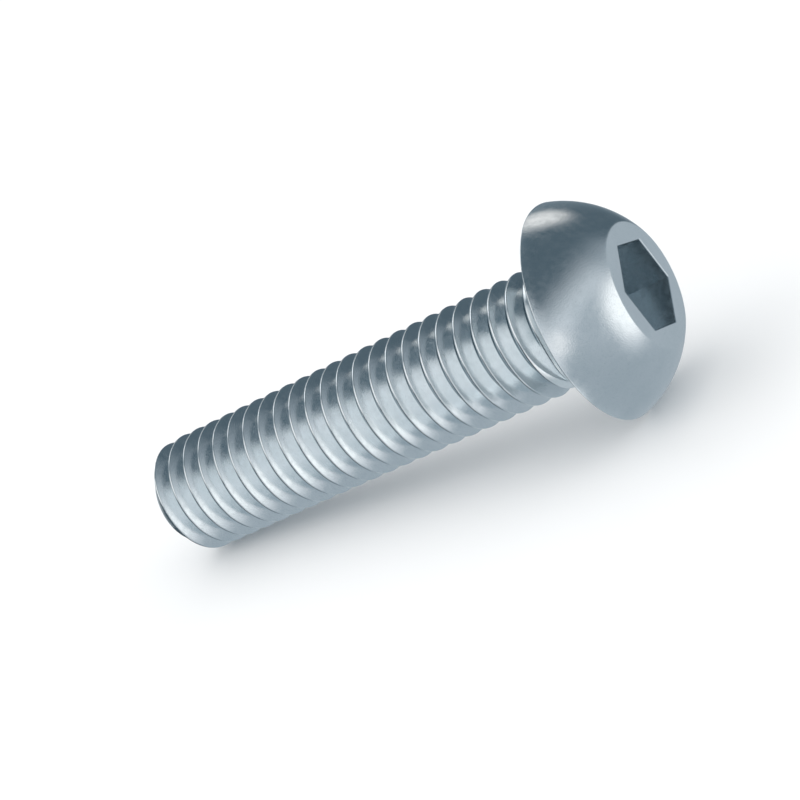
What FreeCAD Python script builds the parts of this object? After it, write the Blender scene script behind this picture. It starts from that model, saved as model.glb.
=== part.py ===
import FreeCAD, Part
import os
from functools import partial
from math import atan2, cos, degrees, floor, pi, radians, sin, tan

from FreeCAD import Vector

# M6 x 25 button head socket screw, in mm and degrees.
# The screw is made upright: its axis is Z, the head is up, and Z = 0 is the face under the head.
length = 25.0
pitch = 1.0
major_diameter = 5.91
flank_angle = 30.0
neck_step = 0.1
neck_flare = 0.25

head_diameter = 10.5
head_height = 3.3
head_flat_diameter = 6.0
rim_height = 0.3
rim_inset = 0.45

key_width = 4.0
socket_depth = 2.1
socket_point = 0.4
socket_azimuth = 27.9

tip_step = 0.05
tip_chamfer = 0.75

# The groove starts as a point on the neck and reaches its full depth over this much of a turn.
thread_end_gap = 1.49
thread_end_azimuth = 150.0
run_out = 100.0

# The side of the screw that is down when it lies on a flat surface.
underside_azimuth = 200.0

# Sizes that follow from those above
crest_radius = major_diameter / 2
neck_radius = crest_radius - neck_step
crest_width = pitch / 8
flank_slope = tan(radians(flank_angle))
root_radius = crest_radius - (pitch - crest_width) / 2 / flank_slope
tip_radius = root_radius - tip_step
turns = int((length - thread_end_gap) / pitch) + 2
rim_radius = head_diameter / 2
flat_radius = head_flat_diameter / 2
neck_overlap = head_height / 6

# The thread's edges are smooth curves through this many points a turn.
steps_a_turn = 14


def rise(share):
    """From 0 to 1: steep at first, level where it arrives."""
    return sin(pi / 2 * min(max(share, 0.0), 1.0))


def ridge_radius(angle):
    """Radius of the surface on the head side of the groove: the neck's for one turn, then the crest's."""
    return neck_radius + (crest_radius - neck_radius) * rise((angle - 360) / run_out)


def groove_point(side, angle):
    """A point of the V groove, by its angle from the groove's start.
    Side 1 is the groove's edge nearer the head, 0 its bottom and -1 its edge nearer the tip."""
    bottom = neck_radius + (root_radius - neck_radius) * rise(angle / run_out)
    radius = {1: ridge_radius(angle), 0: bottom, -1: ridge_radius(angle + 360)}[side]
    height = -thread_end_gap - pitch * angle / 360 + side * (radius - bottom) * flank_slope
    return on_screw(radius, angle, height)


def on_screw(radius, angle, height):
    """A point at a radius and height, its angle counted from the groove's start."""
    azimuth = radians(thread_end_azimuth - angle)
    return Vector(radius * cos(azimuth), radius * sin(azimuth), height)


def smooth_edge(point_at, start, end):
    """A smooth edge through the points between two angles, with the true direction at both ends."""
    steps = round(steps_a_turn * (end - start) / 360)
    angles = [start + (end - start) * step / steps for step in range(steps + 1)]
    small = 0.01
    first = (point_at(start + small) - point_at(start)) / radians(small)
    last = (point_at(end) - point_at(end - small)) / radians(small)
    curve = Part.BSplineCurve()
    curve.interpolate(Points=[point_at(angle) for angle in angles],
                      Parameters=[radians(angle) for angle in angles],
                      InitialTangent=first, FinalTangent=last, Scale=False)
    return curve.toShape()


def piece_of(edge, start, end):
    """The part of an edge between two angles."""
    curve = edge.Curve.copy()
    curve.segment(radians(start), radians(end))
    return curve.toShape()


def thread_faces(edges):
    """The two flanks of each turn of the groove, and the crest between it and the next turn."""
    faces = []
    for turn in range(turns):
        faces.append(Part.makeRuledSurface(edges[1, turn], edges[0, turn]))
        faces.append(Part.makeRuledSurface(edges[0, turn], edges[-1, turn]))
        if turn + 1 < turns:
            faces.append(Part.makeRuledSurface(edges[-1, turn], edges[1, turn + 1]))
    return faces


def neck_faces(first_edge):
    """The plain neck, in two halves, from the groove's first turn up into the head, and its flat top."""
    faces = []
    rings = []
    for start in (0, 180):
        ring = smooth_edge(lambda angle: on_screw(neck_radius, angle, neck_overlap), start, start + 180)
        faces.append(Part.makeRuledSurface(ring, piece_of(first_edge, start, start + 180)))
        rings.append(ring)
    faces.append(Part.Face(Part.Wire(rings)))
    return faces


def end_faces(edges):
    """The faces past the screw's tip that close the thread: a spiral floor and the step in it."""
    start = 360 * (turns - 1)
    end = 360 * turns
    axis = smooth_edge(lambda angle: Vector(0, 0, groove_point(-1, angle).z), start, end)
    step = [groove_point(-1, start), axis.firstVertex().Point, axis.lastVertex().Point]
    step += [groove_point(side, end) for side in (-1, 0, 1)] + step[:1]
    return [Part.makeRuledSurface(edges[-1, turns - 1], axis), Part.Face(Part.makePolygon(step))]


def make_threaded_rod():
    """The neck and the thread as one solid that is a little longer than the screw."""
    edges = {}
    for turn in range(turns):
        for side in (-1, 0, 1):
            point_at = partial(groove_point, side)
            edges[side, turn] = smooth_edge(point_at, 360 * turn, 360 * (turn + 1))
    skin = Part.makeShell(thread_faces(edges) + neck_faces(edges[1, 0]) + end_faces(edges))
    skin.sewShape(1e-5)
    rod = Part.makeSolid(skin)
    if rod.Volume < 0:
        rod.reverse()
    return rod


def revolved(edges):
    """The solid that a closed outline in the XZ plane makes when it turns about the axis."""
    return Part.Face(Part.Wire(edges)).revolve(Vector(), Vector(0, 0, 1), 360)


def make_tip_envelope():
    """What the shank is trimmed to: wider than the thread, with the tip's chamfer and flat end."""
    longer = 2 * tip_chamfer
    wider = 2 * crest_radius - tip_radius
    outline = [Vector(0, 0, -length), Vector(tip_radius, 0, -length), Vector(wider, 0, longer - length),
               Vector(wider, 0, neck_overlap), Vector(0, 0, neck_overlap)]
    return revolved(Part.makePolygon(outline + outline[:1]).Edges)


def dome_arc(rim_top, flat_edge):
    """The dome's outline: an arc between two points, round a centre on the axis."""
    middle = (rim_top + flat_edge) / 2
    across = flat_edge - rim_top
    centre = Vector(0, 0, middle.z + middle.x * across.x / across.z)
    outward = (middle - centre).normalize()
    return Part.Arc(rim_top, centre + outward * (flat_edge - centre).Length, flat_edge).toShape()


def make_head():
    """The button head: flared neck, flat bearing face, bevelled rim, spherical dome and flat top."""
    inside = 0.6 * neck_flare
    rim_top = Vector(rim_radius, 0, rim_height)
    flat_edge = Vector(flat_radius, 0, head_height)
    outline = [flat_edge, Vector(0, 0, head_height), Vector(0, 0, -neck_flare - inside),
               Vector(neck_radius - inside, 0, -neck_flare - inside), Vector(neck_radius + neck_flare, 0, 0),
               Vector(rim_radius - rim_inset, 0, 0), rim_top]
    return revolved(Part.makePolygon(outline).Edges + [dome_arc(rim_top, flat_edge)])


def make_socket():
    """The hexagonal hole for the key, with a shallow conical bottom."""
    corner_radius = key_width / 2 / cos(radians(30))
    azimuths = [radians(socket_azimuth + 60 * corner) for corner in range(7)]
    outline = [Vector(corner_radius * cos(a), corner_radius * sin(a), head_height) for a in azimuths]
    prism = Part.Face(Part.makePolygon(outline)).extrude(Vector(0, 0, -socket_depth))
    bottom = head_height - socket_depth
    return prism.fuse(Part.makeCone(0, 0.45 * key_width, socket_point, Vector(0, 0, bottom - socket_point)))


def make_screw():
    """The whole screw, upright."""
    shank = make_threaded_rod().common(make_tip_envelope())
    return make_head().fuse(shank).cut(make_socket())


def resting_tilt():
    """How far the axis slopes when the screw lies on its rim and on the last full crest near the tip."""
    angle = (thread_end_azimuth - underside_azimuth) % 360
    first_crest = -thread_end_gap - pitch * (angle / 360 + 0.5)
    crests_after = floor((first_crest + length - tip_chamfer) / pitch)
    last_crest = first_crest - pitch * crests_after
    return degrees(atan2(rim_radius - crest_radius, rim_height - last_crest))


def lay_down(shape):
    """Turn the upright screw so that its head points along +X and its chosen side is down."""
    shape.rotate(Vector(), Vector(0, 0, 1), 180 - underside_azimuth)
    shape.rotate(Vector(), Vector(1, 0, 1), 180)
    shape.rotate(Vector(), Vector(0, 1, 0), -resting_tilt())
    return shape


screw = lay_down(make_screw().Solids[0])

os.makedirs("parts", exist_ok=True)
screw.exportStep("parts/screw.step")
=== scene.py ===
import math

import bpy
import bmesh
from mathutils import Matrix, Vector


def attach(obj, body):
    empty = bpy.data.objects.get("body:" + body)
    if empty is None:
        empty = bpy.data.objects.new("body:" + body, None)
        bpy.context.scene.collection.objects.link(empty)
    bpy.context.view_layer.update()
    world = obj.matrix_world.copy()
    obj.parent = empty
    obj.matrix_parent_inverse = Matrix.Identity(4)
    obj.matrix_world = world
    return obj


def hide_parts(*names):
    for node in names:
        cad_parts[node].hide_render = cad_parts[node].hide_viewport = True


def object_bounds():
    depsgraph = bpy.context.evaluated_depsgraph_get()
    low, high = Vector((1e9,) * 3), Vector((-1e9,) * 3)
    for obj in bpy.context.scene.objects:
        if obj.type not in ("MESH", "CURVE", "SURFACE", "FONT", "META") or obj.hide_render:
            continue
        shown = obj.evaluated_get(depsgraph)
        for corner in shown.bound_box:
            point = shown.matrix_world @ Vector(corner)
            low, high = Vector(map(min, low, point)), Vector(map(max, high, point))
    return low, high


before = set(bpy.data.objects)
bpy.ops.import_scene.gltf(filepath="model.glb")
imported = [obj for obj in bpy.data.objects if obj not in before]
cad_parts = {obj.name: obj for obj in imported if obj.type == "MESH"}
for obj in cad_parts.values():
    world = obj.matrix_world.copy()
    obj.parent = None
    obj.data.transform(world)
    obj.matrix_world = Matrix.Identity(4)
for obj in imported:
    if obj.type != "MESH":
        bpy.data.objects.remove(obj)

bounds_at_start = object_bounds()
bpy.context.scene.view_settings.view_transform = "Standard"

MM = 0.001

# The screw's sizes in mm and degrees. It is made upright, its axis along Z and its head up,
# with Z = 0 in the face under the head, and then laid down as the frame has it.
LENGTH = 25.0
PITCH = 1.0
CREST_RADIUS = 5.91 / 2
CREST_WIDTH = PITCH / 8
FLANK_SLOPE = math.tan(math.radians(30))
ROOT_RADIUS = CREST_RADIUS - (PITCH - CREST_WIDTH) / 2 / FLANK_SLOPE
NECK_RADIUS = CREST_RADIUS - 0.1
NECK_FILLET = 0.25
TIP_RADIUS = ROOT_RADIUS - 0.05
TIP_CHAMFER = 0.75
RIM_RADIUS = 10.5 / 2
RIM_HEIGHT = 0.3
RIM_INSET = 0.45
HEAD_HEIGHT = 3.3
FLAT_RADIUS = 3.0
KEY_WIDTH = 4.0
SOCKET_DEPTH = 2.1
SOCKET_POINT = 0.4
SOCKET_POINT_RADIUS = 0.45 * KEY_WIDTH
SOCKET_AZIMUTH = 27.9
UNDERSIDE_AZIMUTH = 200.0

# Where the groove starts under the head, and the angle over which it then gets its full depth
THREAD_END_GAP = 1.49
THREAD_END_AZIMUTH = 150.0
RUN_OUT = 60.0
TURNS = int((LENGTH - THREAD_END_GAP) / PITCH) + 2

# How far from a corner its rounding reaches, in mm: the groove's bottom, the crest's edges on the
# side of the tip and of the head, and the edges of the bearing face, the rim, the flat top and the socket
ROOT_ROUNDING = 0.1
TIPWARD_ROUNDING = 0.1
HEADWARD_ROUNDING = 0.03
BEARING_ROUNDING = 0.15
RIM_ROUNDING = 0.035
FLAT_ROUNDING = 0.08
SOCKET_ROUNDING = 0.06

# The mesh: its steps round the axis and along each curve, the width of the ring inside the flat top's
# edge, the share of a crest's width, from the side of the tip, at which one turn's mesh meets the next,
# and the angle in degrees from which an edge is sharp
STEPS_A_TURN = 120
THREAD_CORNER_STEPS = 4
RIM_CORNER_STEPS = 5
FLAT_CORNER_STEPS = 4
FILLET_STEPS = 8
DOME_STEPS = 24
NECK_STEPS = 8
MOUTH_STEPS = 4
FLAT_RING = 0.3
CREST_SHARE = 0.8
SHARP_ANGLE = 32

# The marks on the mesh's points: the shade painted into the plating's colour in the recesses, and where the
# plating is rougher
PAINTED_SHADE = "painted_shade"
DULL = "dull"

# The painted shade mark goes from 0 to 1: where it is full, the plating's colour is darkened to stand in for
# the shade in the recesses. In the groove it begins at GROOVE_REACH above the root and is full
# GROOVE_FADE deeper. In the socket it grows with the depth, and on the neck towards the head, each by
# a growth per mm up to its highest value. The tip has none
GROOVE_REACH = 0.085
GROOVE_FADE = 0.03
SOCKET_REACH = 0.6 * KEY_WIDTH
SOCKET_GROWTH = 3
SOCKET_HIGHEST = 0.35
NECK_MARK_START = 1.32
NECK_GROWTH = 5
NECK_HIGHEST = 0.8
CLEAR_OF_TIP = 0.4

# Margins in mm for telling where a point lies: outside the neck's radius, inside the fillet's, in the
# face under the head and on the flat end
ON_NECK = 0.003
ON_FILLET = 0.01
ON_FACE = 0.02
ON_END = 0.001

# The plating: its colours, and the darker colour painted in as shade in the recesses, the sizes of its
# patterns in mm, the part of a pattern's values over which it goes from one look to the other, how strong
# the speckles and the grain are, and the roughness
PLATING_COLOURS = ((0.86, 0.91, 0.93), (0.905, 0.945, 0.965))
SPECKLE_COLOUR = (0.5, 0.58, 0.62)
# The painted shade's colour, for the groove's bottom, the socket and the neck under the head
PAINTED_SHADE_COLOUR = (0.3, 0.38, 0.42)
CLOUD_SIZE = 1.6
SPECKLE_SIZE = 0.07
GLOSS_SIZE = 0.3
GRAIN_SIZE = 0.06
GRAIN_DEPTH = 0.01
MIDDLE_VALUES = (0.35, 0.65)
SPECKLE_VALUES = (0.55, 0.72)
SPECKLE_STRENGTH = 0.22
GRAIN_STRENGTH = 0.36
ROUGHNESS = (0.14, 0.26)
MORE_ROUGHNESS_IF_DULL = 0.5

# The photograph's camera, in mm and degrees: where it sees the middle of the head's top
# (right, down, away), and how the screw's axis leans to it and turns in the picture
HEAD_TOP_SEEN_AT = Vector((10.833, -5.083, 97.654))
AXIS_LEAN = 57.682
AXIS_TURN = -24.971
LENS = 100.3
SENSOR = 36.0

# The room's colours. A pair is for the head's end and for the tip's end, and the pair of greys
# is for the sides and for below
PALE = ((0.6, 0.65, 0.695), (0.93, 0.94, 0.95))
DARK = ((0.083, 0.12, 0.148), (0.17, 0.225, 0.265))
GREY = ((0.375, 0.43, 0.475), (0.325, 0.38, 0.425))
LIGHT_GREY = (0.46, 0.52, 0.56)
DARKEST = (0.06, 0.09, 0.11)

# The room's parts, in the upright screw's axes: X is roughly up, Y is on the camera's side and Z is at
# the head's end. Each limit of a part is a direction, and the part comes up as the cosine to that
# direction goes from the limit's first number to its second
TIP_END = [((0, 0, -1), -0.1, 0.5)]
BELOW = [((-1, 0, 0), 0.3, 0.9)]
FRONT = [((0, 1, 0), -0.2, 0.35), ((0.7, 0, -0.72), -0.6, -0.35)]
FRONT_AT_TIP = TIP_END + [((0, 1, -1.2), -0.3, -0.03)]
DARK_PARTS = [[((0.9, 0.15, -0.43), -0.15, 0.55), ((0, -0.7, 0.7), -0.72, -0.5)],
              [((0.75, -0.66, 0), 0.7, 0.86)],
              [((0.95, -0.3, -0.3), 0.6, 0.82)]]
DARKEST_PART = [((0, 0, -1), 0.55, 0.63), ((-1, -0.25, 0), -0.3, -0.15), ((0, 1, 0), -0.7, -0.5)]

# The room's soft lamps: the direction, the angles from it in degrees within which a lamp is full and
# outside which it is gone, and its colour. The one for the ridges has one more limit, like a part's
LAMPS = {"glow": ((-0.42, -0.1, 0.9), 5, 24, (0.64, 0.68, 0.72)),
         "head": ((-0.14, -0.03, 1), 9, 31, (1.12, 1.14, 1.15)),
         "rim": ((-0.27, 0.93, 0.24), 3, 16, (0.82, 0.84, 0.86)),
         "back": ((0.86, -0.51, -0.06), 2, 19, (0.83, 0.82, 0.81)),
         "flank": ((-0.86, 0.4, -0.3), 4, 20, (1.1, 1.13, 1.15)),
         "ridge": ((0.87, -0.1, -0.45), 9, 26, (1.4, 1.42, 1.44))}
LAMP_LIMITS = {"ridge": [((0, 0, -1), 0.28, 0.4)]}


def rise(share):
    """From 0 to 1: steep at first, level where it arrives."""
    return math.sin(math.pi / 2 * min(max(share, 0.0), 1.0))


def ridge_radius(angle):
    """Radius on the head's side of the groove: the neck's for one turn, then the crest's."""
    return NECK_RADIUS + (CREST_RADIUS - NECK_RADIUS) * rise((angle - 360) / RUN_OUT)


def bottom_radius(angle):
    """Radius of the groove's sharp bottom, before it is rounded."""
    return NECK_RADIUS + (ROOT_RADIUS - NECK_RADIUS) * rise(angle / RUN_OUT)


def resting_tilt():
    """The slope of the axis, from the rim and the last full crest on the underside."""
    angle = (THREAD_END_AZIMUTH - UNDERSIDE_AZIMUTH) % 360
    first_crest = -THREAD_END_GAP - PITCH * (angle / 360 + 0.5)
    crests_after = math.floor((first_crest + LENGTH - TIP_CHAMFER) / PITCH)
    last_crest = first_crest - PITCH * crests_after
    return math.atan2(RIM_RADIUS - CREST_RADIUS, RIM_HEIGHT - last_crest)


def lie_down():
    """The turn from the upright screw to the one that lies on the floor."""
    return (Matrix.Rotation(-resting_tilt(), 4, "Y")
            @ Matrix.Rotation(math.pi, 4, Vector((1, 0, 1)))
            @ Matrix.Rotation(math.radians(180 - UNDERSIDE_AZIMUTH), 4, "Z"))


def rounded(corners, roundings, steps):
    """Points along a line of corners, each inner corner rounded off by a short curve."""
    points = [corners[0]]
    for before, corner, after, rounding in zip(corners, corners[1:], corners[2:], roundings):
        reach = min(rounding, (before - corner).length, (after - corner).length)
        start = corner + (before - corner).normalized() * reach
        end = corner + (after - corner).normalized() * reach
        for step in range(steps + 1):
            t = step / steps
            points.append(start * (1 - t) ** 2 + corner * 2 * t * (1 - t) + end * t ** 2)
    return points + [corners[-1]]


def thread_profile(angle):
    """Across one turn of the thread, from crest to crest: points (radius, height)."""
    bottom = bottom_radius(angle)
    upper = ridge_radius(angle)
    lower = ridge_radius(angle + 360)
    middle = -THREAD_END_GAP - PITCH * angle / 360
    upper_edge = Vector((upper, middle + (upper - bottom) * FLANK_SLOPE))
    apex = Vector((bottom, middle))
    lower_edge = Vector((lower, middle - (lower - bottom) * FLANK_SLOPE))
    next_edge = middle - PITCH + (lower - bottom_radius(angle + 360)) * FLANK_SLOPE
    start = upper_edge + Vector((0, CREST_WIDTH))
    if angle >= 360:
        last_edge = middle + PITCH - (upper - bottom_radius(angle - 360)) * FLANK_SLOPE
        start = upper_edge.lerp(Vector((upper, last_edge)), CREST_SHARE)
    end = lower_edge.lerp(Vector((lower, next_edge)), 1 - CREST_SHARE)
    depth = (upper - bottom) / (CREST_RADIUS - ROOT_RADIUS)
    roundings = [TIPWARD_ROUNDING * depth, ROOT_ROUNDING * depth, HEADWARD_ROUNDING * depth]
    return rounded([start, upper_edge, apex, lower_edge, end], roundings, THREAD_CORNER_STEPS)


def tip_cone(height):
    """The radius of the tip's chamfer at a height."""
    return TIP_RADIUS + (CREST_RADIUS - TIP_RADIUS) * (height + LENGTH) / TIP_CHAMFER


def trimmed(point):
    """A point of the thread, kept inside the tip's chamfer and flat end."""
    height = max(point.y, -LENGTH)
    return Vector((min(point.x, tip_cone(height)), height))


def dome_points():
    """The dome's arc after the rim, up to the flat top's edge: points (radius, height)."""
    squares = HEAD_HEIGHT ** 2 + FLAT_RADIUS ** 2 - RIM_HEIGHT ** 2 - RIM_RADIUS ** 2
    centre = squares / 2 / (HEAD_HEIGHT - RIM_HEIGHT)
    radius = math.hypot(RIM_RADIUS, RIM_HEIGHT - centre)
    low = math.atan2(RIM_HEIGHT - centre, RIM_RADIUS)
    high = math.atan2(HEAD_HEIGHT - centre, FLAT_RADIUS)
    angles = [low + (high - low) * step / DOME_STEPS for step in range(1, DOME_STEPS + 1)]
    return [Vector((radius * math.cos(angle), centre + radius * math.sin(angle))) for angle in angles]


def head_profile():
    """From the neck's top to the ring on the flat top: points (radius, height)."""
    fillet = []
    for step in range(FILLET_STEPS + 1):
        turn = math.pi / 2 * step / FILLET_STEPS
        fillet.append(Vector((NECK_RADIUS + NECK_FILLET * (1 - math.cos(turn)),
                              -NECK_FILLET * (1 - math.sin(turn)))))
    bearing = Vector((RIM_RADIUS - RIM_INSET, 0))
    rim = Vector((RIM_RADIUS, RIM_HEIGHT))
    dome = dome_points()
    flat_ring = Vector((FLAT_RADIUS - FLAT_RING, HEAD_HEIGHT))
    edge = rounded([fillet[-1], bearing, rim, dome[1]], [BEARING_ROUNDING, RIM_ROUNDING], RIM_CORNER_STEPS)
    top = rounded([dome[-2], dome[-1], flat_ring], [FLAT_ROUNDING], FLAT_CORNER_STEPS)
    return fillet + edge[1:] + dome[2:-1] + top[1:]


def around(angle, point):
    """The place (x, y, z) of a point (radius, height) at an angle from the groove's start."""
    azimuth = math.radians(THREAD_END_AZIMUTH - angle)
    return (point.x * math.cos(azimuth), point.x * math.sin(azimuth), point.y)


def ring(point, first_step=0):
    """The places of a point (radius, height) all the way round the axis."""
    return [around(360 * (step + first_step) / STEPS_A_TURN, point) for step in range(STEPS_A_TURN + 1)]


def hexagon(width, height):
    """The places round the key socket at even angles from one of its corners."""
    places = []
    for step in range(STEPS_A_TURN + 1):
        angle = 360 * step / STEPS_A_TURN
        radius = width / 2 / math.cos(math.radians((angle % 60) - 30))
        azimuth = math.radians(SOCKET_AZIMUTH - angle)
        places.append((radius * math.cos(azimuth), radius * math.sin(azimuth), height))
    return places


def socket_circle(radius, height):
    """The places of a circle in the socket, beside those of its hexagons."""
    azimuths = [math.radians(SOCKET_AZIMUTH - 360 * step / STEPS_A_TURN) for step in range(STEPS_A_TURN + 1)]
    return [(radius * math.cos(azimuth), radius * math.sin(azimuth), height) for azimuth in azimuths]


class Skin:
    """Collects rows of points and joins neighbouring rows with faces."""

    def __init__(self):
        self.points = []
        self.faces = []

    def add_rows(self, rows):
        """Rows with the same number of points, each joined to the next."""
        width = len(rows[0])
        first = len(self.points)
        for row in rows:
            self.points.extend(row)
        for r in range(len(rows) - 1):
            for c in range(width - 1):
                a = first + r * width + c
                self.faces.append((a, a + 1, a + width + 1, a + width))


def add_thread(skin):
    """The thread, one turn after the other."""
    for turn in range(TURNS):
        rows = []
        for step in range(STEPS_A_TURN + 1):
            angle = 360 * (turn + step / STEPS_A_TURN)
            rows.append([around(angle, trimmed(point)) for point in thread_profile(angle)])
        skin.add_rows(rows)


def add_neck(skin):
    """The neck, from the fillet under the head down to the thread's first turn."""
    top = Vector((NECK_RADIUS, -NECK_FILLET))
    rows = []
    for step in range(STEPS_A_TURN + 1):
        angle = 360 * step / STEPS_A_TURN
        low = thread_profile(angle)[0]
        rows.append([around(angle, top.lerp(low, share / NECK_STEPS)) for share in range(NECK_STEPS + 1)])
    skin.add_rows(rows)


def add_head(skin):
    """The head with its socket."""
    profile = head_profile()
    rings = [ring(point) for point in reversed(profile)]
    skin.add_rows(list(zip(*rings)))
    add_socket(skin, profile[-1])


def add_socket(skin, flat_ring):
    """The flat face round the socket, the socket's rounded mouth, its walls and its shallow bottom."""
    to_corner = (THREAD_END_AZIMUTH - SOCKET_AZIMUTH) / 360
    rings = [ring(flat_ring, round(to_corner * STEPS_A_TURN))]
    for step in range(MOUTH_STEPS + 1):
        turn = math.pi / 2 * step / MOUTH_STEPS
        rings.append(hexagon(KEY_WIDTH + 2 * SOCKET_ROUNDING * (1 - math.sin(turn)),
                             HEAD_HEIGHT - SOCKET_ROUNDING * (1 - math.cos(turn))))
    floor_height = HEAD_HEIGHT - SOCKET_DEPTH
    rings.append(hexagon(KEY_WIDTH, floor_height))
    rings.append(socket_circle(SOCKET_POINT_RADIUS, floor_height))
    rings.append([(0, 0, floor_height - SOCKET_POINT)] * (STEPS_A_TURN + 1))
    skin.add_rows(list(zip(*reversed(rings))))


def add_tip_end(skin):
    """The flat end of the tip."""
    edge = ring(Vector((TIP_RADIUS, -LENGTH)))
    skin.add_rows([[(0, 0, -LENGTH), place] for place in reversed(edge)])


def painted_shade_mark(radius, height):
    """Painted shade: from 0 in the open to 1 at the groove's bottom, less in the socket and on the neck."""
    beside_head = NECK_RADIUS - ON_NECK < radius < NECK_RADIUS + NECK_FILLET - ON_FILLET
    if height > 0 and radius < SOCKET_REACH:
        mark = min(SOCKET_GROWTH * (HEAD_HEIGHT - height), SOCKET_HIGHEST)
    elif height < CLEAR_OF_TIP - LENGTH:
        mark = 0
    elif beside_head and height < ON_FACE:
        mark = min(NECK_GROWTH * (height + NECK_MARK_START), NECK_HIGHEST)
    else:
        mark = (ROOT_RADIUS + GROOVE_REACH - radius) / GROOVE_FADE
    return min(max(mark, 0.0), 1.0)


def dull_mark(height):
    """1 in the face under the head and on the flat end of the tip, and 0 elsewhere."""
    return float(abs(height) < ON_FACE or height < ON_END - LENGTH)


def mark_points(mesh, to_upright):
    """Put both marks on the mesh's points: the painted shade and the dullness."""
    places = [to_upright @ vertex.co / MM for vertex in mesh.vertices]
    marks = {PAINTED_SHADE: [painted_shade_mark(math.hypot(x, y), height) for x, y, height in places],
             DULL: [dull_mark(height) for x, y, height in places]}
    for name, values in marks.items():
        mesh.attributes.new(name, "FLOAT", "POINT").data.foreach_set("value", values)


def make_screw():
    """The whole screw as one mesh that lies on the floor."""
    skin = Skin()
    for add_part in (add_thread, add_neck, add_head, add_tip_end):
        add_part(skin)
    turn = lie_down()
    mesh = bpy.data.meshes.new("screw_skin")
    mesh.from_pydata([turn @ (Vector(place) * MM) for place in skin.points], [], skin.faces)
    work = bmesh.new()
    work.from_mesh(mesh)
    bmesh.ops.remove_doubles(work, verts=work.verts, dist=1e-7)
    bmesh.ops.dissolve_degenerate(work, edges=work.edges, dist=1e-8)
    bmesh.ops.recalc_face_normals(work, faces=work.faces)
    work.to_mesh(mesh)
    work.free()
    mesh.shade_smooth()
    mesh.set_sharp_from_angle(angle=math.radians(SHARP_ANGLE))
    mark_points(mesh, turn.inverted())
    screw = bpy.data.objects.new("screw_skin", mesh)
    bpy.context.collection.objects.link(screw)
    screw.modifiers.new("even_shading", "WEIGHTED_NORMAL").keep_sharp = True
    return screw


class NodeTree:
    """Adds shader nodes to a material or a world and joins them."""

    def __init__(self, owner):
        owner.use_nodes = True
        self.nodes = owner.node_tree.nodes
        self.links = owner.node_tree.links

    def feed(self, socket, value):
        """Give a socket another node's output, or else a fixed colour or number."""
        if isinstance(value, bpy.types.NodeSocket):
            self.links.new(value, socket)
        elif isinstance(value, tuple):
            socket.default_value = (*value, 1)
        else:
            socket.default_value = value

    def attribute(self, name):
        """A mark on the mesh's points."""
        node = self.nodes.new("ShaderNodeAttribute")
        node.attribute_name = name
        return node.outputs["Fac"]

    def noise(self, size, detail):
        """A soft random pattern with patches of a size in mm."""
        place = self.nodes.new("ShaderNodeTexCoord")
        node = self.nodes.new("ShaderNodeTexNoise")
        node.inputs["Scale"].default_value = 1 / (size * MM)
        node.inputs["Detail"].default_value = detail
        self.links.new(place.outputs["Object"], node.inputs["Vector"])
        return node.outputs["Fac"]

    def ranged(self, value, low, high, start=0, end=1, shape="LINEAR"):
        """From start to end, and no further, as a value goes from low to high."""
        node = self.nodes.new("ShaderNodeMapRange")
        node.interpolation_type = shape
        for name, number in (("From Min", low), ("From Max", high), ("To Min", start), ("To Max", end)):
            node.inputs[name].default_value = number
        self.links.new(value, node.inputs["Value"])
        return node.outputs["Result"]

    def calculated(self, operation, *values):
        """The result of one step of arithmetic."""
        node = self.nodes.new("ShaderNodeMath")
        node.operation = operation
        for socket, value in zip(node.inputs, values):
            self.feed(socket, value)
        return node.outputs["Value"]

    def mixed(self, share, start, end):
        """From one colour to the other as the share goes from 0 to 1."""
        node = self.nodes.new("ShaderNodeMix")
        node.data_type = "RGBA"
        # A Mix node's sockets for colours come after those for numbers and vectors.
        colour_a, colour_b = node.inputs[6:8]
        result = node.outputs[2]
        self.links.new(share, node.inputs["Factor"])
        self.feed(colour_a, start)
        self.feed(colour_b, end)
        return result


def zinc_material():
    """Bright zinc plating: a cool metal with faint mottling, fine grain, uneven gloss and shade painted into
    its colour in the groove, the socket and the neck under the head.
    """
    material = bpy.data.materials.new("zinc_plated_steel")
    tree = NodeTree(material)
    shader = tree.nodes["Principled BSDF"]
    shader.inputs["Metallic"].default_value = 1.0

    clouds = tree.ranged(tree.noise(CLOUD_SIZE, detail=4), *MIDDLE_VALUES)
    speckles = tree.ranged(tree.noise(SPECKLE_SIZE, detail=2), *SPECKLE_VALUES, 0, SPECKLE_STRENGTH)
    tint = tree.mixed(clouds, *PLATING_COLOURS)
    tint = tree.mixed(speckles, tint, SPECKLE_COLOUR)
    # Painted shade: the colour darkens in the groove's bottom, the socket and the neck under the head
    tint = tree.mixed(tree.attribute(PAINTED_SHADE), tint, PAINTED_SHADE_COLOUR)
    tree.feed(shader.inputs["Base Color"], tint)

    gloss = tree.ranged(tree.noise(GLOSS_SIZE, detail=4), *MIDDLE_VALUES, *ROUGHNESS)
    roughness = tree.calculated("MULTIPLY_ADD", tree.attribute(DULL), MORE_ROUGHNESS_IF_DULL, gloss)
    tree.feed(shader.inputs["Roughness"], roughness)

    bump = tree.nodes.new("ShaderNodeBump")
    bump.inputs["Strength"].default_value = GRAIN_STRENGTH
    bump.inputs["Distance"].default_value = GRAIN_DEPTH * MM
    tree.feed(bump.inputs["Height"], tree.noise(GRAIN_SIZE, detail=2))
    tree.feed(shader.inputs["Normal"], bump.outputs["Normal"])
    return material


def floor_material():
    """A pale floor without a pattern."""
    material = bpy.data.materials.new("pale_floor")
    material.use_nodes = True
    shader = material.node_tree.nodes["Principled BSDF"]
    shader.inputs["Base Color"].default_value = (0.88, 0.88, 0.88, 1)
    shader.inputs["Roughness"].default_value = 0.7
    return material


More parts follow.
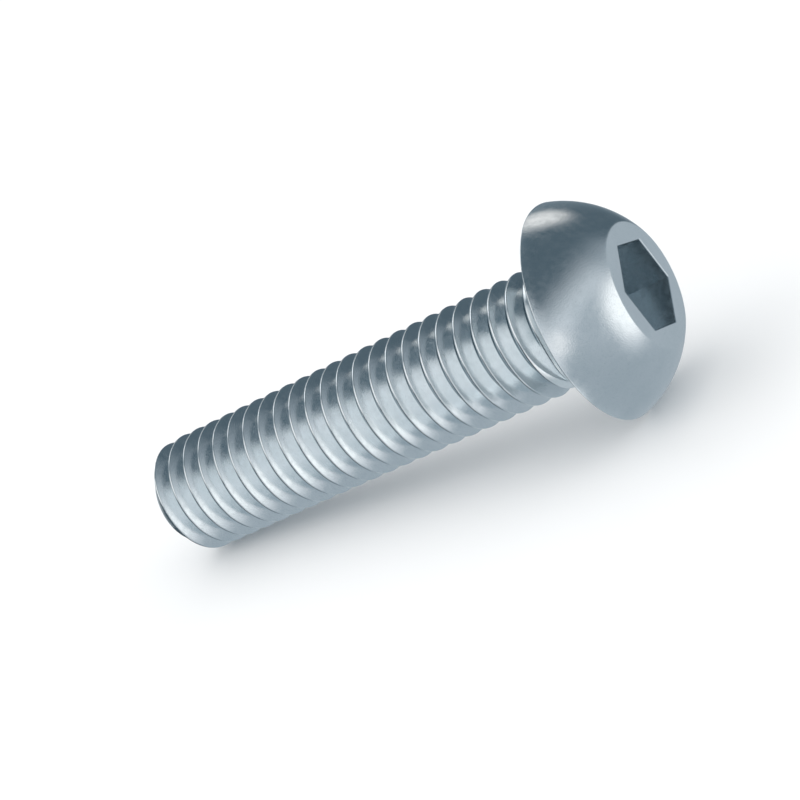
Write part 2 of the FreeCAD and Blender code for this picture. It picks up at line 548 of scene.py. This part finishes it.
def make_floor(height):
    """A wide square floor that the metal doesn't mirror and that keeps no light off it."""
    reach = 2.0
    corners = [(-reach, -reach), (reach, -reach), (reach, reach), (-reach, reach)]
    mesh = bpy.data.meshes.new("floor")
    mesh.from_pydata([(x, y, height) for x, y in corners], [], [(0, 1, 2, 3)])
    floor = bpy.data.objects.new("floor", mesh)
    bpy.context.collection.objects.link(floor)
    floor.data.materials.append(floor_material())
    floor.visible_glossy = False
    floor.visible_shadow = False
    return floor


def make_floor_lamp():
    """A wide lamp over the floor that the metal doesn't mirror."""
    lamp = bpy.data.lights.new("floor_lamp", "SUN")
    lamp.energy = 2.6
    lamp.angle = math.radians(140)
    lamp.color = (1, 0.98, 0.96)
    over_floor = bpy.data.objects.new("floor_lamp", lamp)
    over_floor.visible_glossy = False
    bpy.context.collection.objects.link(over_floor)


def make_room():
    """The light by direction: the room's pale, grey and dark parts and its soft lamps."""
    world = bpy.data.worlds.new("studio")
    bpy.context.scene.world = world
    tree = NodeTree(world)
    look = tree.nodes.new("ShaderNodeTexCoord").outputs["Generated"]
    to_world = lie_down().to_3x3()

    def along(direction, low, high):
        """From 0 to 1 as the cosine to a direction goes from low to high."""
        cosine = tree.nodes.new("ShaderNodeVectorMath")
        cosine.operation = "DOT_PRODUCT"
        cosine.inputs[1].default_value = to_world @ Vector(direction).normalized()
        tree.links.new(look, cosine.inputs[0])
        return tree.ranged(cosine.outputs["Value"], low, high, shape="SMOOTHSTEP")

    def within(limits):
        """1 inside all the limits, 0 outside one of them, and in between where a limit fades."""
        share = along(*limits[0])
        for limit in limits[1:]:
            share = tree.calculated("MULTIPLY", share, along(*limit))
        return share

    pale = tree.mixed(within(TIP_END), *PALE)
    dark = tree.mixed(within(TIP_END), *DARK)
    grey = tree.mixed(within(BELOW), *GREY)
    grey = tree.mixed(within(FRONT_AT_TIP), grey, LIGHT_GREY)
    room = tree.mixed(within(FRONT), grey, pale)
    for part in DARK_PARTS:
        room = tree.mixed(within(part), room, dark)
    room = tree.mixed(within(DARKEST_PART), room, DARKEST)
    for name, (direction, full, gone, colour) in LAMPS.items():
        cone = (direction, math.cos(math.radians(gone)), math.cos(math.radians(full)))
        room = tree.mixed(within([cone] + LAMP_LIMITS.get(name, [])), room, colour)
    tree.feed(tree.nodes["Background"].inputs["Color"], room)


def make_camera():
    """The camera, worked out in the upright screw's own axes and laid down with it."""
    lean = math.radians(AXIS_LEAN)
    turn = math.radians(AXIS_TURN)
    axis = Vector((math.sin(lean) * math.cos(turn), math.sin(lean) * math.sin(turn), -math.cos(lean)))
    across = axis.cross(Vector((0, 0, 1))).normalized()
    near = axis.cross(across)
    seen_from = Matrix((across, near, axis))
    place = Vector((0, 0, HEAD_HEIGHT)) - seen_from @ HEAD_TOP_SEEN_AT
    right = seen_from @ Vector((1, 0, 0))
    up = seen_from @ Vector((0, -1, 0))
    back = seen_from @ Vector((0, 0, -1))
    pose = Matrix((right, up, back)).transposed().to_4x4()
    pose.translation = place * MM
    data = bpy.data.cameras.new("camera")
    data.lens = LENS
    data.sensor_width = SENSOR
    data.clip_start = 0.001
    data.clip_end = 10
    camera = bpy.data.objects.new("camera", data)
    bpy.context.collection.objects.link(camera)
    camera.matrix_world = lie_down() @ pose
    bpy.context.scene.camera = camera


screw = make_screw()
screw.data.materials.append(zinc_material())
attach(screw, "root")
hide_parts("screw")

floor = make_floor(bounds_at_start[0][2])
make_floor_lamp()
make_room()
make_camera()
